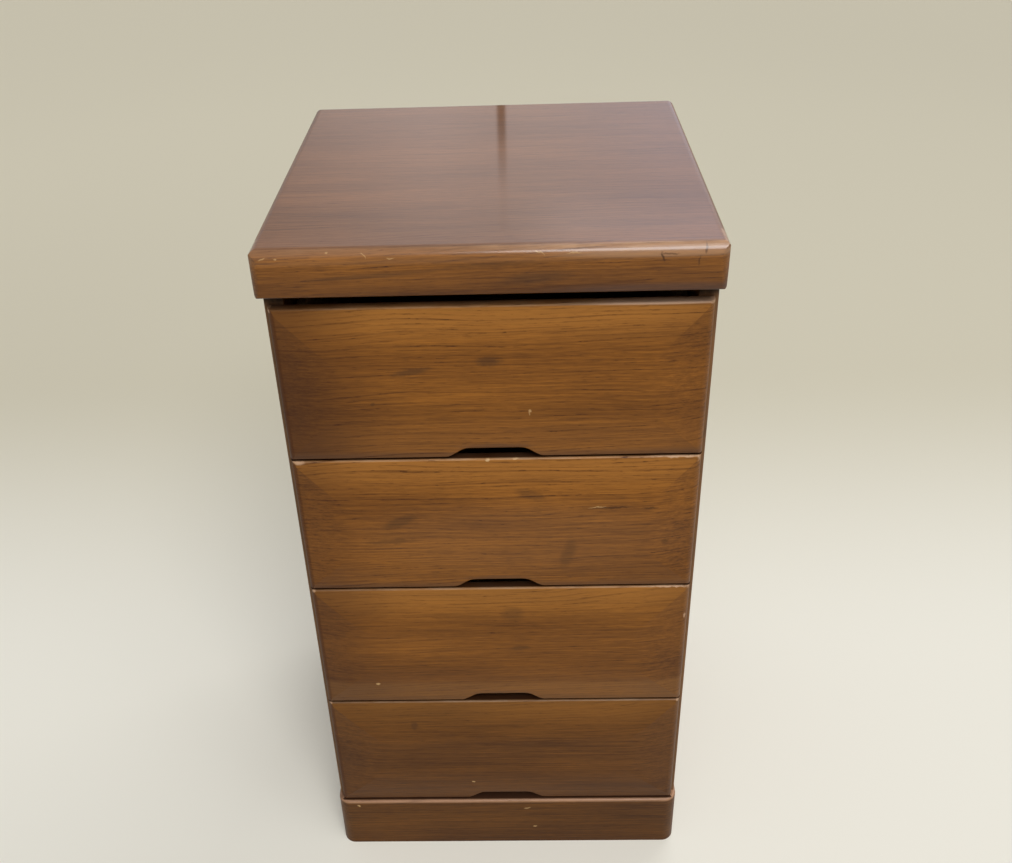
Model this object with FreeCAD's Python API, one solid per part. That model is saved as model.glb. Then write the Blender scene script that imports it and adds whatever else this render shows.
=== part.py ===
import FreeCAD, Part
import math
import os

# Slim floor-standing chest of four drawers in brown-stained wood.
# Millimetres. X runs to the right, Y from front to back and Z upwards.
# The origin is the middle of the footprint at floor level. The drawers open towards -Y.

Vector = FreeCAD.Vector

# Whole chest
chest_height = 884.0
top_width = 454.0
top_depth = 446.0

# Top board: a veneered core with a solid nosing and lippings
top_thickness = 49.0
top_front_radius = 12.0
top_side_radius = 9.0
top_back_radius = 2.0
top_underside_radius = 3.0
top_corner_radius = 11.0
top_lean = 1.2
top_lean_start = 22.0
top_lean_radius = 60.0
nosing_depth = 36.0
lipping_width = 22.0
tongue_length = 8.0
tongue_thickness = 10.0
form_overrun = 10.0

# Carcass
side_overhang = 3.0
panel_thickness = 20.0
panel_edge_radius = 2.0
panel_back_radius = 1.0
back_panel_thickness = 5.0
back_panel_inset = 3.0
back_rebate_width = 8.0
bottom_panel_thickness = 12.0
bottom_rebate_width = 8.0
top_rail_height = 22.0
top_rail_depth = 60.0
divider_rail_height = 20.0
divider_rail_depth = 60.0
rail_housing = 6.0
finger_room = 22.0

# Plinth
plinth_height = 84.0
plinth_overhang = 2.0
plinth_setback = 12.0
plinth_board = 20.0
plinth_corner_radius = 16.0
plinth_top_radius = 3.0
plinth_back_radius = 2.0
base_rail_height = 20.0
base_rail_depth = 45.0
glue_block_leg = 34.0
glue_block_floor_gap = 4.0
glue_block_top_gap = 24.0

# Drawers
drawer_count = 4
shallow_drawers = 2
deep_front_extra = 4.0
drawer_gap = 3.0
base_gap = 3.5
head_gap = 18.5
face_setback = 7.0
closing_gap = 0.3

# Drawer fronts: pillows with four mitred bevels
front_thickness = 21.0
front_side_reveal = 4.5
bevel_width = 41.0
bevel_fall = 8.6
bevel_blend_radius = 230.0
front_end_radius = 10.0
front_rim_radius = 2.5
front_back_radius = 1.0

# Finger pull in the lower edge of each front
pull_foot_half = 51.0
pull_roof_half = 31.5
pull_height = 12.0
pull_curve_radius = 20.0
pull_overcut = 20.0
pull_lip_radius = 3.0
pull_lip_steps = 3
scoop_radius = 7.0
scoop_setback = 2.0
scoop_drop = 2.0
scoop_half_length = 24.0

# Drawer boxes
box_side_clearance = 2.0
box_end_gap = 25.0
box_foot_gap = 14.0
box_head_gap = 20.0
box_side_thickness = 12.0
box_back_thickness = 12.0
box_back_drop = 8.0
box_rim_radius = 3.0
side_tongue_thickness = 6.0
side_tongue_length = 6.0
bottom_board_thickness = 4.0
bottom_board_lift = 9.0
bottom_groove_depth = 5.0
back_housing_depth = 3.0

# Runners: battens that ride in the grooves of the drawer sides
runner_height = 15.4
runner_reach = 6.5
runner_setback = 25.0
runner_end_gap = 20.0
runner_lift = 73.0
running_gap = 0.3
groove_floor_gap = 0.5
groove_start_gap = 1.5

# Planes and levels that follow from the sizes above
top_front_y = -top_depth / 2
top_back_y = top_depth / 2
top_half = top_width / 2
underside_z = chest_height - top_thickness
carcass_half = top_half - side_overhang
inner_half = carcass_half - panel_thickness
face_y = top_front_y + face_setback
front_back_y = face_y + front_thickness
carcass_front_y = front_back_y + closing_gap
back_panel_y = top_back_y - back_panel_inset - back_panel_thickness
rail_front_y = carcass_front_y + finger_room
top_rail_back_y = back_panel_y - top_rail_depth
plinth_half = carcass_half + plinth_overhang
plinth_front_y = top_front_y + plinth_setback
front_half = carcass_half - front_side_reveal
stack_height = underside_z - head_gap - plinth_height - base_gap
fronts_height = stack_height - (drawer_count - 1) * drawer_gap
shallow_front_height = (fronts_height - (drawer_count - shallow_drawers) * deep_front_extra) / drawer_count
box_half = inner_half - box_side_clearance
box_inner_half = box_half - box_side_thickness
box_back_y = back_panel_y - box_end_gap
runner_front_y = carcass_front_y + runner_setback
runner_back_y = back_panel_y - runner_end_gap
runner_inner_half = box_half - runner_reach
side_tongue_half = box_inner_half + side_tongue_thickness
bottom_board_half = box_inner_half + bottom_groove_depth
back_board_half = box_inner_half + back_housing_depth


def save(name, shape):
    shape.exportStep(os.path.join("parts", name + ".step"))
    print(name, "solids", len(shape.Solids), "valid", shape.isValid(), "volume", round(shape.Volume))


def box(low_x, high_x, low_y, high_y, low_z, high_z):
    corner = Vector(low_x, low_y, low_z)
    return Part.makeBox(high_x - low_x, high_y - low_y, high_z - low_z, corner)


def mirrored(shape):
    return shape.mirror(Vector(0, 0, 0), Vector(1, 0, 0))


def in_plan(u, v):
    return Vector(u, v, 0)


def in_side_view(u, v):
    return Vector(0, u, v)


def in_front_view(u, v):
    return Vector(u, 0, v)


def upright(along, depth):
    return Vector(0, depth, along)


def rounded_corner(before, corner, after, radius):
    """Start, middle and end of the arc that rounds a corner of an outline."""
    back = (before - corner).normalize()
    ahead = (after - corner).normalize()
    half_angle = back.getAngle(ahead) / 2
    reach = radius / math.tan(half_angle)
    centre = corner + (back + ahead).normalize() * (radius / math.sin(half_angle))
    middle = centre + (corner - centre).normalize() * radius
    return corner + back * reach, middle, corner + ahead * reach


def rounded_outline(corners, place):
    """Closed face from corners (u, v, radius): straight sides joined by tangent arcs."""
    points = [place(u, v) for u, v, radius in corners]
    rounds = []
    for index, (u, v, radius) in enumerate(corners):
        point = points[index]
        if radius > 0:
            before = points[index - 1]
            after = points[(index + 1) % len(points)]
            rounds.append(rounded_corner(before, point, after, radius))
        else:
            rounds.append((point, None, point))
    edges = []
    for index, (start, middle, end) in enumerate(rounds):
        if middle is not None:
            edges.append(Part.Arc(start, middle, end).toShape())
        following = rounds[(index + 1) % len(rounds)][0]
        if end.distanceToPoint(following) > 1e-6:
            edges.append(Part.LineSegment(end, following).toShape())
    return Part.Face(Part.Wire(edges))


def prism(corners, place, start, length):
    """Outline in one of the three views, pushed along the axis it faces."""
    axis = place(0, 1).cross(place(1, 0)).normalize()
    axis = Vector(abs(axis.x), abs(axis.y), abs(axis.z))
    face = rounded_outline(corners, place)
    face.translate(axis * start)
    return face.extrude(axis * length)


def front_height(index):
    """Drawer 0 is the uppermost, and the upper drawers are the shallow ones."""
    if index < shallow_drawers:
        return shallow_front_height
    return shallow_front_height + deep_front_extra


def front_bottom_z(index):
    below = range(index + 1, drawer_count)
    return plinth_height + base_gap + sum(front_height(lower) + drawer_gap for lower in below)


def box_bottom_z(index):
    return front_bottom_z(index) + box_foot_gap


def box_top_z(index):
    return front_bottom_z(index) + front_height(index) - box_head_gap


def runner_bottom_z(index):
    return front_bottom_z(index) + runner_lift - runner_height / 2


def group(shapes):
    return Part.makeCompound(shapes)


# Top board

def top_board_form():
    """Outer form of the built-up top: three rounded prisms, each overrunning the others' faces."""
    lean_z = chest_height - top_lean_start
    side_view = [
        (top_back_y, underside_z, 0),
        (top_back_y, chest_height, top_back_radius),
        (top_front_y, chest_height, top_front_radius),
        (top_front_y, lean_z, top_lean_radius),
        (top_front_y + top_lean, underside_z, top_underside_radius),
    ]
    front_view = [
        (-top_half, chest_height, top_side_radius),
        (top_half, chest_height, top_side_radius),
        (top_half, lean_z, top_lean_radius),
        (top_half - top_lean, underside_z, top_underside_radius),
        (top_lean - top_half, underside_z, top_underside_radius),
        (-top_half, lean_z, top_lean_radius),
    ]
    plan = [
        (-top_half, top_front_y, top_corner_radius),
        (top_half, top_front_y, top_corner_radius),
        (top_half, top_back_y, top_back_radius),
        (-top_half, top_back_y, top_back_radius),
    ]
    across = prism(side_view, in_side_view, -top_half - form_overrun, top_width + 2 * form_overrun)
    along = prism(front_view, in_front_view, top_front_y - form_overrun, top_depth + 2 * form_overrun)
    rising = prism(plan, in_plan, underside_z - form_overrun, top_thickness + 2 * form_overrun)
    return across.common(along).common(rising)


nosing_back_y = top_front_y + nosing_depth
core_half = top_half - lipping_width
tongue_low_z = chest_height - (top_thickness + tongue_thickness) / 2
tongue_high_z = tongue_low_z + tongue_thickness


def nosing_tongue():
    return box(-core_half, core_half, nosing_back_y, nosing_back_y + tongue_length,
               tongue_low_z, tongue_high_z)


def lipping_tongue():
    return box(core_half - tongue_length, core_half, nosing_back_y + tongue_length, top_back_y,
               tongue_low_z, tongue_high_z)


def top_front_nosing(form):
    region = box(-top_half, top_half, top_front_y, nosing_back_y, underside_z, chest_height)
    return form.common(region).fuse(nosing_tongue()).removeSplitter()


def top_lipping(form):
    region = box(core_half, top_half, nosing_back_y, top_back_y, underside_z, chest_height)
    return form.common(region).fuse(lipping_tongue().common(form)).removeSplitter()


def top_core(form):
    region = box(-core_half, core_half, nosing_back_y, top_back_y, underside_z, chest_height)
    core = form.common(region)
    return core.cut([nosing_tongue(), lipping_tongue(), mirrored(lipping_tongue())])


# Carcass

def divider_rail_z(index):
    """Underside of the rail below drawer number index."""
    return front_bottom_z(index) - (drawer_gap + divider_rail_height) / 2


def divider_rail(index):
    reach = inner_half + rail_housing
    low_z = divider_rail_z(index)
    return box(-reach, reach, rail_front_y, rail_front_y + divider_rail_depth,
               low_z, low_z + divider_rail_height)


def top_rail(low_y):
    reach = inner_half + rail_housing
    return box(-reach, reach, low_y, low_y + top_rail_depth,
               underside_z - top_rail_height, underside_z)


def bottom_panel():
    reach = inner_half + bottom_rebate_width
    return box(-reach, reach, rail_front_y, back_panel_y,
               plinth_height, plinth_height + bottom_panel_thickness)


def back_panel():
    reach = inner_half + back_rebate_width
    return box(-reach, reach, back_panel_y, back_panel_y + back_panel_thickness,
               plinth_height, underside_z)


def side_panel():
    """Right side panel, housed for the rails and rebated for the back and the bottom."""
    plan = [
        (inner_half, carcass_front_y, panel_back_radius),
        (carcass_half, carcass_front_y, panel_edge_radius),
        (carcass_half, top_back_y, panel_back_radius),
        (inner_half, top_back_y, 0),
    ]
    panel = prism(plan, in_plan, plinth_height, underside_z - plinth_height)
    back_rebate = box(inner_half, inner_half + back_rebate_width, back_panel_y, top_back_y,
                      plinth_height, underside_z)
    cuts = [back_rebate, bottom_panel(), top_rail(rail_front_y), top_rail(top_rail_back_y)]
    for index in range(drawer_count - 1):
        cuts.append(divider_rail(index))
    return panel.cut(cuts)


def runner(index):
    """Right-hand batten with a rounded nose, fixed to the side panel."""
    low_z = runner_bottom_z(index)
    high_z = low_z + runner_height
    side_view = [
        (runner_front_y, low_z, runner_height / 2),
        (runner_back_y, low_z, 0),
        (runner_back_y, high_z, 0),
        (runner_front_y, high_z, runner_height / 2),
    ]
    return prism(side_view, in_side_view, runner_inner_half, inner_half - runner_inner_half)


# Plinth

def plinth_frame():
    """Whole plinth ring with rounded front corners and a softened top edge."""
    plan = [
        (-plinth_half, plinth_front_y, plinth_corner_radius),
        (plinth_half, plinth_front_y, plinth_corner_radius),
        (plinth_half, top_back_y, plinth_back_radius),
        (-plinth_half, top_back_y, plinth_back_radius),
    ]
    ring = prism(plan, in_plan, 0, plinth_height)
    rim = [edge for edge in ring.Edges if edge.BoundBox.ZMin > plinth_height / 2]
    ring = ring.makeFillet(plinth_top_radius, rim)
    inner = plinth_half - plinth_board
    hollow = box(-inner, inner, plinth_front_y + plinth_board, top_back_y - plinth_board,
                 0, plinth_height)
    return ring.cut(hollow)


def mitre_region():
    """Space in front of both corner mitres, where the plinth front board lies."""
    inner = plinth_half - plinth_board
    plan = [
        (-plinth_half - plinth_board, plinth_front_y - plinth_board, 0),
        (plinth_half + plinth_board, plinth_front_y - plinth_board, 0),
        (inner, plinth_front_y + plinth_board, 0),
        (-inner, plinth_front_y + plinth_board, 0),
    ]
    return prism(plan, in_plan, 0, plinth_height)


def plinth_front(frame):
    return frame.common(mitre_region())


def plinth_back(frame):
    inner = plinth_half - plinth_board
    region = box(-inner, inner, top_back_y - plinth_board, top_back_y, 0, plinth_height)
    return frame.common(region)


def plinth_side(frame):
    """Right-hand plinth board."""
    inner = plinth_half - plinth_board
    region = box(inner, plinth_half, plinth_front_y, top_back_y, 0, plinth_height)
    return frame.common(region).cut(mitre_region())


def base_rail_front():
    inner = plinth_half - plinth_board
    low_y = plinth_front_y + plinth_board
    return box(-inner, inner, low_y, low_y + base_rail_depth,
               plinth_height - base_rail_height, plinth_height)


def glue_block(corner_y, step):
    """Triangular block in a right-hand inside corner of the plinth."""
    corner_x = plinth_half - plinth_board
    plan = [
        (corner_x, corner_y, 0),
        (corner_x, corner_y + step * glue_block_leg, 0),
        (corner_x - glue_block_leg, corner_y, 0),
    ]
    height = plinth_height - glue_block_top_gap - glue_block_floor_gap
    return prism(plan, in_plan, glue_block_floor_gap, height)


def plinth_corner_blocks():
    front_block = glue_block(plinth_front_y + plinth_board, 1)
    back_block = glue_block(top_back_y - plinth_board, -1)
    return group([front_block, mirrored(front_block), back_block, mirrored(back_block)])


# Drawers

def pillow_section(low, high, place, end_radius, start, length):
    """Prism whose face is flat in the middle and falls away in a soft bevel at both ends."""
    rim_y = face_y + bevel_fall
    outline = [
        (low, front_back_y, front_back_radius),
        (low, rim_y, end_radius),
        (low + bevel_width, face_y, bevel_blend_radius),
        (high - bevel_width, face_y, bevel_blend_radius),
        (high, rim_y, end_radius),
        (high, front_back_y, front_back_radius),
    ]
    return prism(outline, place, start, length)


def pull_outline(grow):
    """Finger pull seen from the front: a low arch with S-shaped ends, about the lower edge."""
    foot_half = pull_foot_half + grow
    roof_half = pull_roof_half + grow
    height = pull_height + grow
    slope = math.atan2(height, foot_half - roof_half)
    reach = pull_curve_radius * math.tan(slope / 2)
    return [
        (-foot_half - reach, -pull_overcut, 0),
        (-foot_half - reach, 0, 0),
        (-foot_half, 0, pull_curve_radius),
        (-roof_half, height, pull_curve_radius),
        (roof_half, height, pull_curve_radius),
        (foot_half, 0, pull_curve_radius),
        (foot_half + reach, 0, 0),
        (foot_half + reach, -pull_overcut, 0),
    ]


def pull_section(grow, y):
    wire = rounded_outline(pull_outline(grow), in_front_view).OuterWire
    wire.translate(Vector(0, y, 0))
    return wire


def finger_pull():
    """Cutter for the finger pull: its opening, its rounded front lip and the scoop behind it."""
    lip_y = face_y + bevel_fall * (1 - pull_height / bevel_width)
    sections = [pull_section(0, front_back_y)]
    for step in range(pull_lip_steps + 1):
        turn = math.pi / 2 * step / pull_lip_steps
        grow = pull_lip_radius * (1 - math.cos(turn))
        sections.append(pull_section(grow, lip_y + pull_lip_radius * (1 - math.sin(turn))))
    sections.append(pull_section(pull_lip_radius, face_y))
    opening = Part.makeLoft(sections, True, True)
    scoop_y = front_back_y - scoop_setback
    scoop_z = pull_height - scoop_drop
    start = Vector(-scoop_half_length, scoop_y, scoop_z)
    scoop = Part.makeCylinder(scoop_radius, 2 * scoop_half_length, start, Vector(1, 0, 0))
    ends = [Part.makeSphere(scoop_radius, Vector(side * scoop_half_length, scoop_y, scoop_z))
            for side in (-1, 1)]
    return opening.fuse([scoop] + ends)


def drawer_front(index):
    """Pillow front: the plan section and the upright section cut each other in mitres."""
    low_z = front_bottom_z(index)
    high_z = low_z + front_height(index)
    rising = pillow_section(-front_half, front_half, in_plan, front_end_radius,
                            low_z - form_overrun, high_z - low_z + 2 * form_overrun)
    across = pillow_section(low_z, high_z, upright, front_rim_radius,
                            -front_half - form_overrun, 2 * (front_half + form_overrun))
    pull = finger_pull()
    pull.translate(Vector(0, 0, low_z))
    tongues = [side_tongue(index), mirrored(side_tongue(index))]
    return rising.common(across).cut([pull, bottom_board(index)] + tongues)


def side_tongue(index):
    return box(box_inner_half, side_tongue_half, front_back_y - side_tongue_length, front_back_y,
               box_bottom_z(index), box_top_z(index))


def runner_groove(index):
    """Groove in the right drawer side: open at the back, with a rounded stop at the front."""
    low_z = runner_bottom_z(index) - running_gap
    high_z = low_z + runner_height + 2 * running_gap
    nose = (high_z - low_z) / 2
    front_y = runner_front_y - groove_start_gap
    side_view = [
        (front_y, low_z, nose),
        (box_back_y, low_z, 0),
        (box_back_y, high_z, 0),
        (front_y, high_z, nose),
    ]
    floor_x = runner_inner_half - groove_floor_gap
    return prism(side_view, in_side_view, floor_x, box_half - floor_x)


def drawer_side(index):
    """Right drawer side: rounded upper edges, front tongue, two grooves, housing for the back."""
    low_z = box_bottom_z(index)
    high_z = box_top_z(index)
    front_view = [
        (box_inner_half, low_z, 0),
        (box_half, low_z, 0),
        (box_half, high_z, box_rim_radius),
        (box_inner_half, high_z, box_rim_radius),
    ]
    board = prism(front_view, in_front_view, front_back_y, box_back_y - front_back_y)
    board = board.fuse(side_tongue(index)).removeSplitter()
    return board.cut([runner_groove(index), bottom_board(index), drawer_back(index)])


def bottom_board(index):
    low_z = box_bottom_z(index) + bottom_board_lift
    return box(-bottom_board_half, bottom_board_half, front_back_y - bottom_groove_depth, box_back_y,
               low_z, low_z + bottom_board_thickness)


def drawer_back(index):
    low_z = box_bottom_z(index) + bottom_board_lift + bottom_board_thickness
    high_z = box_top_z(index) - box_back_drop
    side_view = [
        (box_back_y - box_back_thickness, low_z, 0),
        (box_back_y, low_z, 0),
        (box_back_y, high_z, box_rim_radius),
        (box_back_y - box_back_thickness, high_z, box_rim_radius),
    ]
    return prism(side_view, in_side_view, -back_board_half, 2 * back_board_half)


def save_pair(name, right_shape):
    save(name + "_right", right_shape)
    save(name + "_left", mirrored(right_shape))


def main():
    os.makedirs("parts", exist_ok=True)
    form = top_board_form()
    save("top_core", top_core(form))
    save("top_front_nosing", top_front_nosing(form))
    save_pair("top_lipping", top_lipping(form))
    save_pair("side_panel", side_panel())
    save("top_rail_front", top_rail(rail_front_y))
    save("top_rail_back", top_rail(top_rail_back_y))
    for index in range(drawer_count - 1):
        save("divider_rail_%d" % (index + 1), divider_rail(index))
    save("bottom_panel", bottom_panel())
    save("back_panel", back_panel())
    frame = plinth_frame()
    save("plinth_front", plinth_front(frame))
    save("plinth_back", plinth_back(frame))
    save_pair("plinth_side", plinth_side(frame))
    save("base_rail_front", base_rail_front())
    save("plinth_corner_blocks", plinth_corner_blocks())
    for index in range(drawer_count):
        number = index + 1
        save_pair("runner_%d" % number, runner(index))
        save("drawer_front_%d" % number, drawer_front(index))
        save_pair("drawer_side_%d" % number, drawer_side(index))
        save("drawer_back_%d" % number, drawer_back(index))
        save("drawer_bottom_%d" % number, bottom_board(index))


main()
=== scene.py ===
import math
import bpy
from mathutils import Matrix, Vector


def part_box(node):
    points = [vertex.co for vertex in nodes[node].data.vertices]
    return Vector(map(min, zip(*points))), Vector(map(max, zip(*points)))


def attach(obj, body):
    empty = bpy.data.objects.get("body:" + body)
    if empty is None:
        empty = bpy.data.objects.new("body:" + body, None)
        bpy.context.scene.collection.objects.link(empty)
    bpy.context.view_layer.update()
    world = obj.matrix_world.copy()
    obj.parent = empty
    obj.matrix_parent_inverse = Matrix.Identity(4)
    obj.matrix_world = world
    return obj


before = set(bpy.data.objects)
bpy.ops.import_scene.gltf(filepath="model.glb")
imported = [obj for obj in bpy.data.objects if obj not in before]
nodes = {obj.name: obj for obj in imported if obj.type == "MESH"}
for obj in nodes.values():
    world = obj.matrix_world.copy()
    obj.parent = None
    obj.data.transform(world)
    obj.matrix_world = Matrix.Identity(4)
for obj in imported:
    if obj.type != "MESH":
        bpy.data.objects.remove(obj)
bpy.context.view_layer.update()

# Slim chest of four drawers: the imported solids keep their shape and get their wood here.
# Metres. X to the right, Y from front to back, Z upwards. The drawers open towards -Y.

drawer_numbers = (1, 2, 3, 4)

# Figure of the stained wood: repeats per metre along the grain and across it

warp_repeats = (2.4, 9.0)
ripple_repeats = (14.0, 40.0)
patch_repeats = (3.5, 13.0)
swathe_repeats = (2.2, 60.0)
streak_repeats = (9.0, 420.0)
fibre_repeats = (60.0, 1300.0)
pore_repeats = (85.0, 760.0)
rim_patch_repeats = (26.0, 90.0)
round_patch_repeats = (30.0, 150.0)

# Share of each pattern in the figure, from broad to fine

patch_share = 0.85
swathe_share = 0.45
streak_share = 1.08
fibre_share = 0.65
figure_offset = -0.96
figure_range = (0.12, 0.98)

# Dark lines in the figure: distance and width in metres, run across the board per metre along it

year_spacing = 0.0127
seam_spacing = 0.0049
line_width = 0.0017
line_slope = -0.035
line_wave = 0.06

level_face = 0.9
rim_reach = 0.055
broad_mark = 0.05
stain_roughness = 0.5
stain_specular = 0.12
relief_depth = 0.0003


def tone(red, green, blue):
    """Linear colour of an sRGB colour given in 0 to 255."""
    linear = []
    for value in (red, green, blue):
        share = value / 255
        linear.append(share / 12.92 if share <= 0.04045 else ((share + 0.055) / 1.055) ** 2.4)
    return (*linear, 1.0)


def shaded(colour, shade):
    return [channel * shade for channel in colour[:3]] + [1]


stain_tones = (tone(76, 39, 7), tone(162, 102, 34), tone(72, 36, 9))
rim_pale_tone = tone(190, 128, 58)
rim_wear_and_highlight = tone(186, 152, 118)
round_wear_and_highlight = tone(214, 172, 128)
painted_hollow_shade = tone(44, 20, 8)


class Finish:
    """One procedural material, with short ways to add and join its nodes."""

    def __init__(self, name):
        self.material = bpy.data.materials.new(name)
        self.material.use_nodes = True
        self.tree = self.material.node_tree
        self.shader = self.tree.nodes["Principled BSDF"]

    def add(self, kind, **settings):
        node = self.tree.nodes.new("ShaderNode" + kind)
        for key, value in settings.items():
            setattr(node, key, value)
        return node

    def put(self, socket, value):
        if isinstance(value, bpy.types.NodeSocket):
            self.tree.links.new(value, socket)
        else:
            socket.default_value = value

    def split(self, vector):
        node = self.add("SeparateXYZ")
        self.put(node.inputs[0], vector)
        return node.outputs

    def math(self, operation, first, second=0.0, third=0.0, clamp=False):
        node = self.add("Math", operation=operation, use_clamp=clamp)
        for socket, value in zip(node.inputs, (first, second, third)):
            self.put(socket, value)
        return node.outputs[0]

    def vector_math(self, operation, first, second=(0, 0, 0)):
        node = self.add("VectorMath", operation=operation)
        self.put(node.inputs[0], first)
        self.put(node.inputs[1], second)
        return node.outputs["Value" if operation == "LENGTH" else "Vector"]

    def stretch(self, vector, scale, offset=(0, 0, 0)):
        node = self.add("Mapping")
        self.put(node.inputs["Vector"], vector)
        node.inputs["Scale"].default_value = scale
        node.inputs["Location"].default_value = offset
        return node.outputs[0]

    def noise(self, vector, scale=1.0, detail=2.0, roughness=0.5):
        node = self.add("TexNoise")
        self.put(node.inputs["Vector"], vector)
        node.inputs["Scale"].default_value = scale
        node.inputs["Detail"].default_value = detail
        node.inputs["Roughness"].default_value = roughness
        return node.outputs["Fac"]

    def board_noise(self, place, repeats, shift, detail=2.0, roughness=0.5):
        """Noise that is drawn out along the grain of a board."""
        along, across = repeats
        return self.noise(self.stretch(place, (along, across, across), shift), detail=detail,
                          roughness=roughness)

    def remap(self, value, low, high, to_low=0.0, to_high=1.0, smooth=True):
        node = self.add("MapRange", interpolation_type="SMOOTHSTEP" if smooth else "LINEAR")
        ends = (("From Min", low), ("From Max", high), ("To Min", to_low), ("To Max", to_high))
        for name, number in ends:
            node.inputs[name].default_value = number
        self.put(node.inputs["Value"], value)
        return node.outputs["Result"]

    def mix(self, share, first, second):
        node = self.add("Mix", data_type="RGBA")
        self.put(node.inputs["Factor"], share)
        self.put(node.inputs[6], first)
        self.put(node.inputs[7], second)
        return node.outputs[2]

    def mix_vectors(self, share, first, second):
        node = self.add("Mix", data_type="VECTOR")
        self.put(node.inputs[0], share)
        self.put(node.inputs[4], first)
        self.put(node.inputs[5], second)
        return node.outputs[1]

    def bump(self, height, strength, distance):
        node = self.add("Bump")
        node.inputs["Strength"].default_value = strength
        node.inputs["Distance"].default_value = distance
        self.put(node.inputs["Height"], height)
        return node.outputs[0]


def board_space(finish, along):
    """Board coordinates in metres: along the grain, across the face, through the thickness."""
    split = finish.split(finish.add("TexCoord").outputs["Object"])
    joined = finish.add("CombineXYZ")
    for socket, axis in zip(joined.inputs, along):
        finish.put(socket, split[axis])
    return joined.outputs[0]


def turned_grain(finish, place, level_along):
    """The same coordinates, but with the grain of the level faces along another axis."""
    normal = finish.split(finish.add("TexCoord").outputs["Normal"])
    level = finish.math("GREATER_THAN", normal["Z"], level_face)
    return finish.mix_vectors(level, place, board_space(finish, level_along))


def spot(finish, place, centre, half, turn=0.0, soft=0.5):
    """Soft ellipse: 1 inside, 0 outside."""
    node = finish.add("Mapping", vector_type="TEXTURE")
    finish.put(node.inputs["Vector"], place)
    node.inputs["Location"].default_value = (centre[0], centre[1], 0)
    node.inputs["Rotation"].default_value = (0, 0, turn)
    node.inputs["Scale"].default_value = (half[0], half[1], 1e6)
    distance = finish.vector_math("LENGTH", node.outputs[0])
    return finish.remap(distance, 1 + soft, 1 - soft)


def grain_lines(finish, place, shift, warp, spacing):
    """Thin dark lines along the grain, where each year's growth begins: 1 on a line."""
    split = finish.split(place)
    rise = finish.math("MULTIPLY_ADD", split["X"], line_slope, split["Y"])
    rise = finish.math("MULTIPLY_ADD", warp, line_wave, rise)
    phase = finish.math("FRACT", finish.math("MULTIPLY", rise, 1 / spacing))
    share = line_width / spacing
    line = finish.remap(phase, 1 - share, 1.0)
    tail = finish.remap(phase, 0.0, share * 0.4, 1.0, 0.0)
    line = finish.math("MAXIMUM", line, tail)
    fade = finish.board_noise(place, (22.0, 1 / spacing), shift, detail=3.0, roughness=0.6)
    return finish.math("MULTIPLY", line, finish.remap(fade, 0.38, 0.62, 0.12, 1.0))


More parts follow.
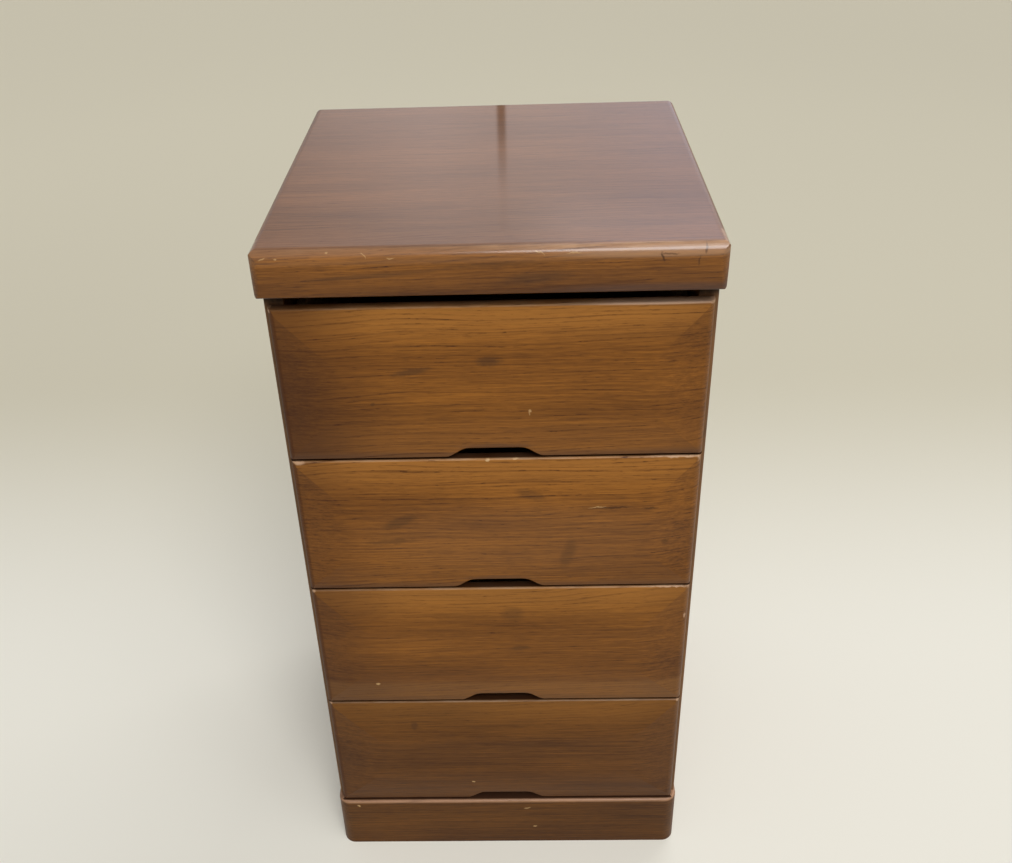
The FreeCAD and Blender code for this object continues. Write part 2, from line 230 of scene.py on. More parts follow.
def stained_wood(name, along="XZY", seed=0, shade=1.0, gloss=0.16, rough=0.3, tones=stain_tones,
                 level_tones=None, level_along=None, marks=(), bands=(), rim_top=None, ledge=None,
                 shaded_edge=None, rubbed_and_highlit_edge=None, depth=1.0, sheen_slope=(0.7, 0.97)):
    """Brown-stained open-pored wood under a satin varnish.

    tones: dark, light and line colour; level_tones: the first two for faces that look up
    marks: (tint, strength, centre, half sizes, turn), in board coordinates: wear and dirt, and
    painted highlights and shade
    bands: (axis, start, end, strength, tint), in full from end on: painted shade and light
    rim_top: height of the upper edge, and how much paler the face grows towards it; its rounded rim
    gets patchy wear and a painted highlight
    ledge: depths between which an upper edge grows dark with painted shade
    shaded_edge: (axis, start, end, strength, tint) of painted shading and duller varnish for faces
    that turn to the low side of axis
    rubbed_and_highlit_edge: (start, end, strength) of the wear and painted highlight along a
    rounded edge
    depth: strength of the dark lines
    sheen_slope: how far a face looks up where the varnish begins to shine, and where it is full
    """
    finish = Finish(name)
    place = board_space(finish, along)
    fibre_place = turned_grain(finish, place, level_along) if level_along else place
    shift = (seed * 1.37, seed * 0.71, seed * 0.53)
    warp = finish.board_noise(fibre_place, warp_repeats, shift, detail=1.5)
    ripple = finish.board_noise(fibre_place, ripple_repeats, shift, detail=1.0)
    warp = finish.math("MULTIPLY_ADD", ripple, 0.05, warp)
    years = grain_lines(finish, fibre_place, shift, warp, year_spacing)
    seams = grain_lines(finish, fibre_place, (shift[1], shift[0], 0.3), warp, seam_spacing)
    patches = finish.board_noise(fibre_place, patch_repeats, shift)
    swathes = finish.board_noise(fibre_place, swathe_repeats, shift)
    streaks = finish.board_noise(fibre_place, streak_repeats, shift, detail=3.0, roughness=0.65)
    fibres = finish.board_noise(fibre_place, fibre_repeats, shift, detail=1.5)
    pores = finish.board_noise(fibre_place, pore_repeats, shift, roughness=0.6)
    pore = finish.remap(pores, 0.56, 0.7)
    figure = figure_offset
    for pattern, share in ((patches, patch_share), (swathes, swathe_share),
                           (streaks, streak_share), (fibres, fibre_share)):
        figure = finish.math("MULTIPLY_ADD", pattern, share, figure)
    figure = finish.remap(figure, *figure_range, smooth=False)
    dark, light, deep = tones
    colour = finish.mix(figure, shaded(dark, shade), shaded(light, shade))
    facing = finish.split(finish.add("TexCoord").outputs["Normal"])
    upward = facing["Z"]
    # Faces that look up take the level tones; on the nosing this reaches part way down the rounded
    # edge, a painted stand-in for its grey reflection.
    if level_tones:
        flat = finish.mix(figure, level_tones[0], level_tones[1])
        colour = finish.mix(finish.remap(upward, 0.45, 0.97), colour, flat)
    split = finish.split(place)
    if rim_top:
        top, strength = rim_top
        # Paler towards the upper rim, most on the bevel that looks up.
        slope = finish.remap(upward, 0.0, 0.28, 0.45, 1.0)
        near_rim = finish.remap(split["Y"], top - rim_reach, top, 0.1, strength)
        paler = finish.math("MULTIPLY", slope, near_rim)
        colour = finish.mix(paler, colour, shaded(rim_pale_tone, shade))
        # The rounded rim gets patchy wear and a painted highlight.
        patchy = finish.board_noise(place, rim_patch_repeats, shift, detail=3.0)
        worn_and_lit = finish.math("MULTIPLY", finish.remap(upward, 0.35, 0.8),
                           finish.remap(patchy, 0.35, 0.72, 0.3, 0.75))
        colour = finish.mix(worn_and_lit, colour, shaded(rim_wear_and_highlight, shade))
    if rubbed_and_highlit_edge:
        # Wear and a painted highlight on the rounded edge, stronger towards +x.
        start, end, strength = rubbed_and_highlit_edge
        round_part = finish.math("SUBTRACT", finish.remap(upward, 0.5, 0.88),
                                 finish.remap(upward, 0.9, 0.97))
        along_edge = finish.remap(split["X"], start, end, 0.3 * strength, strength)
        patchy = finish.board_noise(place, round_patch_repeats, shift, detail=3.0)
        cover = finish.math("MULTIPLY", round_part, finish.math("MULTIPLY", along_edge,
                            finish.remap(patchy, 0.3, 0.7, 0.5, 1.1)))
        colour = finish.mix(cover, colour, round_wear_and_highlight)
    # Bands of painted shade and light.
    for axis, start, end, strength, tint in bands:
        cover = finish.math("MULTIPLY", finish.remap(split[axis], start, end), strength)
        colour = finish.mix(cover, colour, tint)
    broken = finish.math("MULTIPLY_ADD", pore, 0.5, 0.5)
    strokes = finish.math("MULTIPLY", finish.math("MULTIPLY", years, 0.95), broken)
    strokes = finish.math("MULTIPLY_ADD", finish.math("MULTIPLY", seams, broken), 0.85, strokes)
    strokes = finish.math("MULTIPLY_ADD", pore, 0.3, strokes)
    strokes = finish.math("MULTIPLY", strokes, depth, clamp=True)
    colour = finish.mix(strokes, colour, shaded(deep, shade))
    dull = 0.0
    # Painted shading, with a duller varnish, on faces turned to the low side of the axis.
    if shaded_edge:
        axis, start, end, strength, tint = shaded_edge
        turned = finish.math("MULTIPLY", facing[axis], -1.0)
        dull = finish.remap(turned, start, end)
        colour = finish.mix(finish.remap(turned, start, end, 0.0, strength), colour, tint)
    outer = 1.0
    # Painted shade on the upper ledge behind the edge, where the part above keeps the light off.
    if ledge:
        depth_in = finish.remap(split["Z"], ledge[0], ledge[1], 0.0, 0.92)
        cover = finish.math("MULTIPLY", finish.remap(upward, 0.75, 0.95), depth_in)
        dull = finish.math("MAXIMUM", dull, cover)
        colour = finish.mix(cover, colour, painted_hollow_shade)
        outer = finish.remap(split["Z"], ledge[0], ledge[1], 1.0, 0.0)
    if marks:
        ragged = finish.noise(place, scale=160.0)
        ragged = finish.math("MULTIPLY_ADD", ragged, 0.005, -0.0025)
        joined = finish.add("CombineXYZ")
        finish.put(joined.inputs[0], ragged)
        finish.put(joined.inputs[1], ragged)
        loose = finish.vector_math("ADD", place, joined.outputs[0])
        for tint, strength, centre, half, turn in marks:
            cover = spot(finish, place if half[0] > broad_mark else loose, centre, half, turn)
            cover = finish.math("MULTIPLY", cover, outer)
            colour = finish.mix(finish.math("MULTIPLY", cover, strength), colour, tint)
    finish.put(finish.shader.inputs["Base Color"], colour)
    finish.shader.inputs["Roughness"].default_value = stain_roughness
    finish.shader.inputs["Specular IOR Level"].default_value = stain_specular
    sheen = finish.remap(upward, sheen_slope[0], sheen_slope[1], gloss, 1.0)
    sheen = finish.math("MULTIPLY", sheen, finish.math("SUBTRACT", 1.0, dull))
    finish.put(finish.shader.inputs["Coat Weight"], sheen)
    finish.shader.inputs["Coat Roughness"].default_value = rough
    relief = finish.math("MULTIPLY_ADD", pore, -0.8, fibres)
    relief = finish.math("MULTIPLY_ADD", years, -0.5, relief)
    finish.put(finish.shader.inputs["Normal"], finish.bump(relief, 0.2, relief_depth))
    return finish.material


def plain_wood(name, along, light, dark, seed=0):
    """Planed wood or plywood without stain."""
    rings_per_metre = 95.0
    finish = Finish(name)
    place = board_space(finish, along)
    shift = (seed * 1.1, seed * 0.9, seed * 0.7)
    warp = finish.board_noise(place, (2.0, 9.0), shift)
    ring = finish.math("MULTIPLY_ADD", warp, line_wave, finish.split(place)["Y"])
    ring = finish.math("FRACT", finish.math("MULTIPLY", ring, rings_per_metre))
    ring = finish.remap(ring, 0.0, 1.0)
    streaks = finish.board_noise(place, (8.0, 260.0), shift, detail=3.0)
    figure = finish.math("MULTIPLY_ADD", ring, 0.35, finish.math("MULTIPLY", streaks, 0.75))
    colour = finish.mix(finish.remap(figure, 0.1, 1.0, smooth=False), light, dark)
    finish.put(finish.shader.inputs["Base Color"], colour)
    finish.shader.inputs["Roughness"].default_value = 0.62
    finish.put(finish.shader.inputs["Normal"], finish.bump(streaks, 0.15, 0.0004))
    return finish.material


def dress(node_names, material):
    for name in node_names:
        mesh = nodes[name].data
        mesh.materials.clear()
        mesh.materials.append(material)


# Drawer fronts. Marks lie at (x, z) of the front, with their half sizes and a turn in radians.

smudge = tone(58, 38, 22)
dusty = tone(128, 104, 88)
painted_shade = tone(62, 30, 8)
pale = tone(204, 166, 112)
chip = tone(214, 182, 136)
scratch = tone(48, 27, 14)
nick = tone(196, 158, 124)
foot_sheen_and_shade = tone(88, 63, 47)
painted_end_shade = tone(76, 38, 10)

front_marks = {
    # Front 1's first mark is a painted highlight along its upper rim, at the right.
    1: [(tone(206, 176, 152), 0.55, (0.165, 0.8162), (0.062, 0.0018), 0.0),
        (pale, 0.7, (0.0376, 0.7003), (0.0016, 0.0016), 0.0),
        (pale, 0.45, (0.0368, 0.6972), (0.0008, 0.0022), 0.2),
        (smudge, 0.5, (-0.082, 0.7488), (0.017, 0.0035), 0.15),
        (smudge, 0.55, (-0.0036, 0.7586), (0.012, 0.005), 0.0),
        (smudge, 0.4, (-0.1237, 0.7108), (0.002, 0.002), 0.0)],
    2: [(dusty, 0.1, (0.03, 0.535), (0.17, 0.045), 0.0),
        (smudge, 0.45, (-0.1064, 0.5596), (0.018, 0.006), 0.4),
        (smudge, 0.4, (-0.118, 0.532), (0.028, 0.003), 0.05),
        (smudge, 0.35, (0.0365, 0.5936), (0.016, 0.005), -0.35),
        (smudge, 0.32, (0.078, 0.5097), (0.007, 0.02), -0.25),
        (scratch, 0.6, (0.122, 0.5745), (0.024, 0.0012), 0.03),
        (scratch, 0.6, (0.166, 0.5737), (0.008, 0.0012), 0.05),
        (pale, 0.6, (0.110, 0.5758), (0.008, 0.0008), 0.03),
        (scratch, 0.4, (0.185, 0.5263), (0.004, 0.0035), 0.0),
        (chip, 0.75, (-0.0078, 0.6345), (0.0022, 0.0012), 0.2),
        (chip, 0.6, (0.0217, 0.6352), (0.0026, 0.001), 0.0)],
    3: [(pale, 0.8, (-0.1524, 0.3089), (0.0022, 0.0014), -0.3),
        (smudge, 0.42, (0.0222, 0.3682), (0.011, 0.004), 0.1),
        (smudge, 0.3, (0.015, 0.4209), (0.012, 0.009), 0.0)],
    4: [(pale, 0.8, (-0.0417, 0.1286), (0.0022, 0.0012), -0.3),
        (smudge, 0.4, (-0.1133, 0.2339), (0.004, 0.006), 0.0)],
}
corner_nicks = {
    1: [((0.2175, 0.8155), (0.0028, 0.0016), 0.3),
        ((-0.218, 0.815), (0.002, 0.0022), 0.0)],
    2: [((-0.2115, 0.6345), (0.0065, 0.0016), -0.12),
        ((0.2168, 0.634), (0.0026, 0.004), 0.2),
        ((0.19, 0.6352), (0.024, 0.0011), 0.0)],
    3: [((-0.217, 0.4535), (0.003, 0.0022), 0.2),
        ((0.2182, 0.4545), (0.0026, 0.0034), 0.0),
        ((0.195, 0.4542), (0.018, 0.001), 0.0),
        ((0.2148, 0.4093), (0.0012, 0.003), 0.1)],
    4: [((-0.2165, 0.269), (0.002, 0.0016), 0.0),
        ((0.217, 0.269), (0.0022, 0.002), 0.0)],
}
# Bands, in full from their end on: painted shade at the fronts' ends and lower down, and painted
# light on the lower parts of fronts 1 and 3, as from the pale floor.
front_bands = {
    1: [("Y", 0.705, 0.66, 0.26, tone(172, 112, 50)),
        ("Y", 0.775, 0.73, 0.06, painted_shade),
        ("X", -0.09, -0.215, 0.66, painted_shade),
        ("X", 0.155, 0.22, 0.2, painted_shade)],
    2: [("X", -0.12, -0.215, 0.35, painted_shade),
        ("X", 0.17, 0.22, 0.15, painted_shade)],
    3: [("Y", 0.35, 0.3, 0.1, tone(146, 98, 56)),
        ("X", -0.1, -0.215, 0.5, painted_shade),
        ("X", 0.16, 0.215, 0.2, painted_shade),
        ("Y", 0.345, 0.325, 0.16, painted_shade),
        ("Y", 0.315, 0.305, 0.26, tone(150, 106, 58))],
    4: [("Y", 0.24, 0.13, 0.25, painted_shade),
        ("X", -0.14, -0.215, 0.15, painted_shade),
        ("X", 0.16, 0.21, 0.15, painted_shade)],
}
# The lower drawers' darker wood is painted shade, as the light falls off towards the floor.
front_shades = {1: 0.92, 2: 0.94, 3: 0.82, 4: 0.57}
front_rims = {1: (0.8165, 0.64), 2: (0.6355, 0.5), 3: (0.4545, 0.58), 4: (0.2695, 0.48)}
front_feet = {1: 0.6385, 2: 0.4575, 3: 0.2725, 4: 0.0875}
foot_sheen_strengths = {1: 0.5, 2: 0.45, 3: 0.3, 4: 0.25}
grain_depths = {1: 0.85, 2: 0.95, 3: 0.65, 4: 0.55}
# The fronts' upper ledges darken with painted shade from ledge_start back to each ledge end.
ledge_start = -0.2062
ledge_ends = {1: -0.19, 2: -0.204, 3: -0.204, 4: -0.204}

for number in drawer_numbers:
    foot, foot_sheen = front_feet[number], foot_sheen_strengths[number]
    marks = list(front_marks[number])
    # Painted grey sheen and shade just above each finger pull and along the lower edge of the
    # front.
    marks.append((foot_sheen_and_shade, foot_sheen, (0.0, foot + 0.0155), (0.036, 0.0042), 0.0))
    marks += [(nick, 0.75, place, half, slant) for place, half, slant in corner_nicks[number]]
    bands = front_bands[number] + [("Y", foot + 0.0125, foot + 0.003, foot_sheen, foot_sheen_and_shade)]
    # The fronts' left-facing rounded ends take painted shade through shaded_edge.
    wood = stained_wood("front_wood_%d" % number, seed=number, shade=front_shades[number],
                        marks=marks, bands=bands, rim_top=front_rims[number],
                        ledge=(ledge_start, ledge_ends[number]),
                        shaded_edge=("X", 0.2, 0.5, 0.5, painted_end_shade), depth=grain_depths[number])
    dress(["drawer_front_%d" % number], wood)

# Top: one even figure across nosing, core and lippings. Marks lie at (x, z) of the nosing.

nosing_marks = [
    # The first two marks are painted highlights along the rounded front edge, the third painted
    # shade along the lower edge at the right.
    (tone(158, 124, 98), 0.15, (0.0, 0.8755), (0.6, 0.006), 0.0),
    (tone(206, 176, 148), 0.22, (0.16, 0.8752), (0.09, 0.0036), 0.0),
    (tone(70, 58, 58), 0.4, (0.17, 0.838), (0.1, 0.006), 0.0),
    (pale, 0.5, (-0.2125, 0.8765), (0.003, 0.0007), 0.3),
    (pale, 0.5, (-0.2, 0.876), (0.0014, 0.0007), 0.0),
    (pale, 0.5, (-0.151, 0.881), (0.001, 0.0009), 0.0),
    (pale, 0.5, (-0.1165, 0.878), (0.003, 0.0006), -0.8),
    (pale, 0.55, (-0.0912, 0.8755), (0.0035, 0.0006), 0.1),
    (pale, 0.5, (0.0487, 0.8775), (0.0045, 0.0007), -0.5),
    (pale, 0.45, (0.081, 0.8768), (0.006, 0.0006), 0.05),
    (scratch, 0.7, (0.163, 0.871), (0.001, 0.005), 0.2),
    (scratch, 0.55, (0.17, 0.8745), (0.008, 0.0007), 0.0),
    (scratch, 0.6, (0.203, 0.878), (0.001, 0.0045), -0.1),
    (scratch, 0.5, (0.197, 0.866), (0.001, 0.004), 0.0),
    (smudge, 0.4, (-0.115, 0.8575), (0.06, 0.0022), 0.06),
    (smudge, 0.4, (0.045, 0.8525), (0.03, 0.006), 0.1),
    (smudge, 0.3, (0.0, 0.866), (0.05, 0.0025), 0.04),
]
# The band darkens the apron towards its lower edge with painted shade.
nosing_bands = [("Y", 0.868, 0.838, 0.42, painted_shade)]
top_tones = (tone(84, 54, 30), tone(132, 88, 52), tone(52, 28, 12))
top_seed = 11
dress(["top_front_nosing"],
      stained_wood("nosing_wood", seed=top_seed, gloss=0.35, shade=0.91, rough=0.15,
                   level_tones=top_tones, depth=0.8, level_along="XYZ",
                   rubbed_and_highlit_edge=(-0.08, 0.08, 0.34), sheen_slope=(0.3, 0.65),
                   marks=nosing_marks, bands=nosing_bands))
dress(["top_core"],
      stained_wood("top_wood", along="XYZ", seed=top_seed, gloss=0.3, rough=0.042,
                   tones=top_tones, depth=0.6))
dress(["top_lipping_left", "top_lipping_right"],
      stained_wood("lipping_wood", along="YZX", seed=top_seed, gloss=0.3, shade=0.9, rough=0.05,
                   tones=top_tones, level_tones=top_tones, depth=0.6, level_along="XYZ"))

# Carcass. The side panels' mark is painted shade on their ends in the slot under the top, and their
# front edges take a greyish painted shading.

plinth_marks = [
    (pale, 0.8, (-0.1987, 0.0757), (0.0024, 0.0014), -0.4),
    (pale, 0.5, (0.027, 0.069), (0.004, 0.0012), 0.2),
    (pale, 0.75, (0.0374, 0.0312), (0.0024, 0.0012), 0.1),
]
# The first band is a painted highlight along the plinth's upper rim, the second painted shade
# towards its foot.
plinth_bands = [("Y", 0.0795, 0.083, 0.55, tone(206, 160, 126)),
                ("Y", 0.04, 0.008, 0.2, painted_shade)]
dress(["side_panel_left", "side_panel_right"],
      stained_wood("side_wood", along="ZYX", seed=13, shade=0.8,
                   marks=[(tone(16, 9, 5), 0.9, (0.829, -0.195), (0.011, 0.012), 0.0)],
                   shaded_edge=("Y", 0.4, 0.8, 0.5, tone(126, 104, 82))))
# The plinth's much darker wood (0.47 to 0.5) is painted shade, as the light falls off towards the
# floor; the front's ledge darkens with painted shade behind its upper edge.
dress(["plinth_back"],
      stained_wood("plinth_back_wood", seed=17, shade=0.47, bands=plinth_bands, depth=0.6))
dress(["plinth_front"],
      stained_wood("plinth_wood", seed=14, shade=0.47, marks=plinth_marks, bands=plinth_bands,
                   ledge=(-0.2085, -0.2063), depth=0.6))
dress(["plinth_side_left", "plinth_side_right"],
      stained_wood("plinth_side_wood", along="YZX", seed=15, shade=0.5, bands=plinth_bands))
# The front rail's wood is a little lighter, as painted light in the dark slot under the top.
dress(["top_rail_front"], stained_wood("rail_wood", seed=16, shade=1.15))

# Inside and back

beech_light = tone(206, 178, 138)
beech_dark = tone(176, 142, 100)
ply_light = tone(196, 166, 124)
ply_dark = tone(160, 126, 86)
length_wood = plain_wood("length_wood", "YZX", beech_light, beech_dark, 3)
cross_wood = plain_wood("cross_wood", "XZY", beech_light, beech_dark, 4)
ply = plain_wood("ply_wood", "XYZ", ply_light, ply_dark, 5)
back_ply = plain_wood("back_ply_wood", "ZXY", ply_light, ply_dark, 6)
for name in nodes:
    if name.startswith(("drawer_side", "runner")):
        dress([name], length_wood)
    elif name.startswith(("drawer_back", "divider", "base_rail", "top_rail_back", "plinth_corner")):
        dress([name], cross_wood)
    elif name.startswith(("drawer_bottom", "bottom_panel")):
        dress([name], ply)
    elif name == "back_panel":
        dress([name], back_ply)

# Screws that hold the back panel

screw_radius = 0.0034
screw_rise = 0.0011
screw_steps = 28
screw_rings = [(1.0, 0.0), (1.0, 0.25), (0.93, 0.5), (0.75, 0.78), (0.45, 0.96)]
recess_half_width = 0.00036
recess_arm = 0.0019
recess_floor = 0.0003
recess_top = 0.002
screw_sink = 0.0001
screw_turn = 0.71
screw_rows_x = (-0.208, 0.208)
screw_rows_z = (0.11, 0.285, 0.46, 0.635, 0.8)
screw_lines_x = (-0.105, 0.0, 0.105)
screw_lines_z = (0.0895, 0.8235)


def closed_mesh(name, points, faces):
    mesh = bpy.data.meshes.new(name)
    mesh.from_pydata(points, [], faces)
    mesh.validate()
    return mesh


def domed_head():
    """Points and faces of a low dome that stands on Z = 0."""
    steps = screw_steps
    points = [(screw_radius * share * math.cos(2 * math.pi * step / steps),
               screw_radius * share * math.sin(2 * math.pi * step / steps), screw_rise * rise)
              for share, rise in screw_rings for step in range(steps)]
    points.append((0, 0, screw_rise))
    faces = [tuple(reversed(range(steps)))]
    for ring in range(len(screw_rings) - 1):
        for step in range(steps):
            after = (step + 1) % steps
            faces.append((ring * steps + step, ring * steps + after,
                          (ring + 1) * steps + after, (ring + 1) * steps + step))
    last = (len(screw_rings) - 1) * steps
    faces += [(last + step, last + (step + 1) % steps, len(points) - 1) for step in range(steps)]
    return points, faces


def cross_cutter():
    """Points and faces of an upright cross whose arms slope inwards towards its lower end."""
    half, arm = recess_half_width, recess_arm
    plan = [(arm, -half), (arm, half), (half, half), (half, arm), (-half, arm), (-half, half),
            (-arm, half), (-arm, -half), (-half, -half), (-half, -arm), (half, -arm), (half, -half)]
    count = len(plan)
    points = []
    for x, y in plan:
        share = 0.5 if max(abs(x), abs(y)) > half else 1.0
        points.append((x * share, y * share, recess_floor))
    points += [(x, y, recess_top) for x, y in plan]
    faces = [tuple(reversed(range(count))), tuple(range(count, 2 * count))]
    for step in range(count):
        after = (step + 1) % count
        faces.append((step, after, after + count, step + count))
    return points, faces


def screw_head():
    """Low domed head, axis along Z, with a cross recess cut into it."""
    head = bpy.data.objects.new("screw_head_form", closed_mesh("screw_head_form", *domed_head()))
    cross = bpy.data.objects.new("cross_form", closed_mesh("cross_form", *cross_cutter()))
    for form in (head, cross):
        bpy.context.scene.collection.objects.link(form)
    cut = head.modifiers.new("recess", "BOOLEAN")
    cut.operation, cut.solver, cut.object = "DIFFERENCE", "EXACT", cross
    bpy.context.view_layer.update()
    finished = head.evaluated_get(bpy.context.evaluated_depsgraph_get())
    mesh = bpy.data.meshes.new_from_object(finished)
    for form in (head, cross):
        bpy.data.objects.remove(form)
    return mesh


def zinc():
    finish = Finish("zinc_steel")
    place = finish.add("TexCoord").outputs["Object"]
    cloud = finish.noise(place, scale=900.0, detail=3.0)
    finish.put(finish.shader.inputs["Base Color"],
               finish.mix(finish.remap(cloud, 0.3, 0.7), tone(172, 170, 160), tone(205, 204, 198)))
    finish.shader.inputs["Metallic"].default_value = 1.0
    finish.put(finish.shader.inputs["Roughness"], finish.remap(cloud, 0.3, 0.7, 0.28, 0.42))
    return finish.material


def back_screws():
    head = screw_head()
    head.materials.clear()
    head.materials.append(zinc())
    low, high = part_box("back_panel")
    spots = [(x, z) for x in screw_rows_x for z in screw_rows_z]
    spots += [(x, z) for x in screw_lines_x for z in screw_lines_z]
    for number, (x, z) in enumerate(spots, 1):
        screw = bpy.data.objects.new("back_screw_%d" % number, head)
        bpy.context.scene.collection.objects.link(screw)
        turn = (Matrix.Rotation(math.radians(-90), 4, "X")
                @ Matrix.Rotation(number * screw_turn, 4, "Z"))
        screw.matrix_world = Matrix.Translation((x, high.y - screw_sink, z)) @ turn
        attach(screw, "carcass")


back_screws()

# Lamps


def hang(lamp, direction):
    lamp.rotation_mode = "QUATERNION"
    lamp.rotation_quaternion = direction.to_track_quat("-Z", "Y")
    return lamp


def area_light(name, place, target, width, height, power, colour=(1, 1, 1)):
    data = bpy.data.lights.new(name, "AREA")
    data.shape = "RECTANGLE"
    data.size, data.size_y = width, height
    data.energy = power
    data.color = colour
    lamp = bpy.data.objects.new(name, data)
    bpy.context.scene.collection.objects.link(lamp)
    lamp.location = place
    return hang(lamp, Vector(target) - Vector(place))


def soft_sun(name, elevation, azimuth, strength, spread):
    """Even light from one side, as from a large distant panel. Azimuth 0 comes from the front."""
    data = bpy.data.lights.new(name, "SUN")
    data.energy = strength
    data.angle = math.radians(spread)
    lamp = bpy.data.objects.new(name, data)
    bpy.context.scene.collection.objects.link(lamp)
    e, a = math.radians(elevation), math.radians(azimuth)
    towards = Vector((math.sin(a) * math.cos(e), -math.cos(a) * math.cos(e), math.sin(e)))
    return hang(lamp, -towards)


chest_middle = (0, -0.1, 0.6)
chest_top = (0, -0.1, 0.8)
soft_sun("front_panel", elevation=47, azimuth=18, strength=1.3, spread=28)
key = area_light("key", (0.4, -0.9, 2.4), chest_middle, 1.1, 1.1, 14)
key.visible_glossy = False
gleam = area_light("gleam", (0.87, -0.9, 2.4), chest_middle, 0.8, 1.1, 8, (1.0, 0.93, 0.86))
gleam.visible_diffuse = False
back_strip = area_light("back_strip", (0.9, 1.3, 2.6), chest_top, 1.4, 0.6, 17)
back_strip.visible_glossy = False

# Floor and world

floor_near = tone(221, 218, 207)
floor_far = tone(192, 186, 167)
floor_reach = 9.0


def pale_floor():
    """Floor that grows darker towards the back and meets the backdrop without an edge."""
    reach = floor_reach
    mesh = bpy.data.meshes.new("floor")
    corners = [(-reach, -reach, 0), (reach, -reach, 0), (reach, reach, 0), (-reach, reach, 0)]
    mesh.from_pydata(corners, [], [(0, 1, 2, 3)])
    floor = bpy.data.objects.new("floor", mesh)
    bpy.context.scene.collection.objects.link(floor)
    finish = Finish("floor_paint")
    place = finish.add("TexCoord").outputs["Object"]
    depth = finish.remap(finish.split(place)["Y"], 0.1, 1.1)
    colour = finish.mix(depth, floor_near, floor_far)
    finish.put(finish.shader.inputs["Base Color"], colour)
    finish.shader.inputs["Roughness"].default_value = 0.9
    finish.shader.inputs["Specular IOR Level"].default_value = 0.1
    glow = finish.remap(finish.vector_math("LENGTH", place), 0.4, 3.5, 0.2, 0.42)
    path = finish.add("LightPath")
    seen = finish.math("MAXIMUM", path.outputs["Is Camera Ray"], path.outputs["Is Glossy Ray"])
    finish.put(finish.shader.inputs["Emission Color"], colour)
    finish.put(finish.shader.inputs["Emission Strength"], finish.math("MULTIPLY", seen, glow))
    mesh.materials.append(finish.material)


soft_light = (tone(236, 236, 236), 0.37)
backdrop_light = (tone(205, 200, 181), 1.0)
wall_tone = tone(222, 214, 214)
cool_wall_tone = tone(212, 214, 230)

# What the varnish mirrors. A bearing is in radians from straight behind, positive to the right;
# a height is the upward part of the direction. Each ramp gives start, end, and its two levels.

post_bearing = -0.0147
post_half = 0.0022
post_softness = 0.0032
post_fade = (0.285, 0.365, 0.97, 0.08)
left_fall = (-0.3, -0.06, 0.5, 1.0)
right_fall = (0.25, 0.6, 1.0, 0.7)
lift_height = (0.34, 0.4)
lift_bearing = (-0.02, 0.06, 0.0, 0.3)
high_height = (0.4, 0.7)
high_bearing = (0.0, 0.17, 0.3, 1.05)
cool_start = (-0.02, 0.2)
cool_end = (0.25, 0.5, 1.0, 0.0)


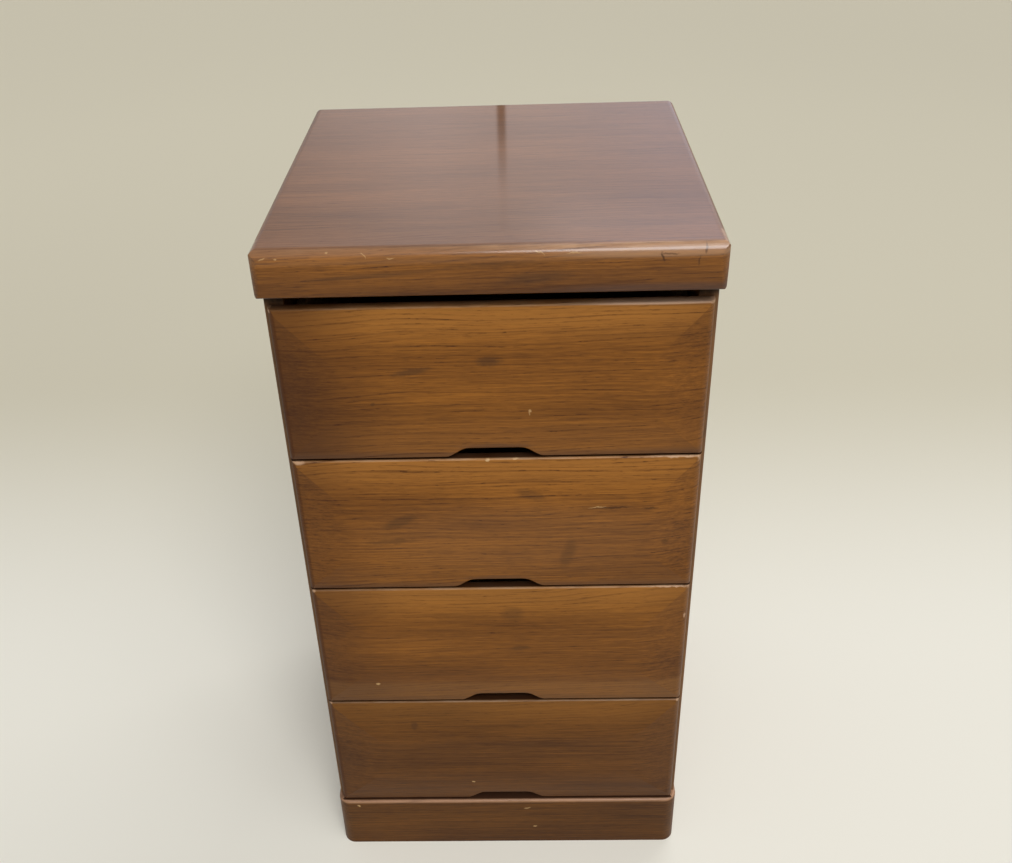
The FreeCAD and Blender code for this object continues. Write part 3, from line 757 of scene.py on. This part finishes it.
def studio_world():
    """Soft light all round. The varnish mirrors pale walls, with a dark upright post behind."""
    world = bpy.data.worlds.new("studio")
    bpy.context.scene.world = world
    world.use_nodes = True
    tree = world.node_tree

    def add(kind):
        return tree.nodes.new("ShaderNode" + kind)

    def link(value, socket):
        if isinstance(value, bpy.types.NodeSocket):
            tree.links.new(value, socket)
        else:
            socket.default_value = value

    def number(operation, first, second=0.0, third=0.0):
        node = add("Math")
        node.operation = operation
        for socket, value in zip(node.inputs, (first, second, third)):
            link(value, socket)
        return node.outputs[0]

    def ramp(value, low, high, to_low=0.0, to_high=1.0):
        node = add("MapRange")
        node.interpolation_type = "SMOOTHSTEP"
        for socket, setting in zip(list(node.inputs)[:5], (value, low, high, to_low, to_high)):
            link(setting, socket)
        return node.outputs["Result"]

    def shine(colour, strength):
        node = add("Background")
        node.inputs["Color"].default_value = colour
        link(strength, node.inputs["Strength"])
        return node.outputs[0]

    def blend(share, first, second):
        node = add("MixShader")
        for socket, value in zip(node.inputs, (share, first, second)):
            link(value, socket)
        return node.outputs[0]

    way = add("TexCoord").outputs["Generated"]
    split = add("SeparateXYZ")
    link(way, split.inputs[0])
    x, y, z = split.outputs
    bearing = number("ARCTAN2", x, y)
    beside = number("ABSOLUTE", number("SUBTRACT", bearing, post_bearing))
    across = ramp(beside, post_half, post_half + post_softness, 1.0, 0.0)
    post = number("MULTIPLY", across, ramp(z, *post_fade))
    cloud = add("TexNoise")
    link(way, cloud.inputs["Vector"])
    cloud.inputs["Scale"].default_value = 5.0
    level = number("MULTIPLY_ADD", cloud.outputs["Fac"], 0.4, 0.97)
    level = number("MULTIPLY", level, ramp(bearing, *left_fall))
    lift = number("MULTIPLY", ramp(z, *lift_height), ramp(bearing, *lift_bearing))
    level = number("MULTIPLY", level, number("ADD", lift, 1.0))
    level = number("MULTIPLY", level, ramp(bearing, *right_fall))
    high = number("MULTIPLY", ramp(z, *high_height), ramp(bearing, *high_bearing))
    level = number("MULTIPLY", level, number("ADD", high, 1.0))
    level = number("MULTIPLY", level, number("SUBTRACT", 1.0, post))
    cool = number("MULTIPLY", ramp(bearing, *cool_start), ramp(bearing, *cool_end))
    walls = blend(cool, shine(wall_tone, level), shine(cool_wall_tone, level))
    soft = shine(*soft_light)
    backdrop = shine(*backdrop_light)
    path = add("LightPath")
    mirrored = number("MAXIMUM", path.outputs["Is Glossy Ray"], path.outputs["Is Transmission Ray"])
    lit = blend(path.outputs["Is Camera Ray"], blend(mirrored, soft, walls), backdrop)
    link(lit, tree.nodes["World Output"].inputs["Surface"])


pale_floor()
studio_world()

# Camera at the photograph's place and angle, from the fit to its edges. Angles in radians.

yaw, pitch, roll = 0.0342, 0.579, -0.0357
camera_place = Vector((0.0297, -1.1695, 1.2969))
sensor_width = 36
lens = 39.07
lens_shift = (0.0146, 0.0023)
forward = Vector((-math.sin(yaw) * math.cos(pitch), math.cos(yaw) * math.cos(pitch),
                  -math.sin(pitch)))
level = Vector((math.cos(yaw), math.sin(yaw), 0))
above = level.cross(forward)
right = level * math.cos(roll) + above * math.sin(roll)
up = above * math.cos(roll) - level * math.sin(roll)
camera_data = bpy.data.cameras.new("camera")
camera_data.sensor_width = sensor_width
camera_data.lens = lens
camera_data.shift_x, camera_data.shift_y = lens_shift
camera = bpy.data.objects.new("camera", camera_data)
bpy.context.scene.collection.objects.link(camera)
turn = Matrix((right, up, -forward)).transposed()
camera.matrix_world = Matrix.Translation(camera_place) @ turn.to_4x4()
bpy.context.scene.camera = camera

bpy.context.scene.view_settings.view_transform = "Standard"
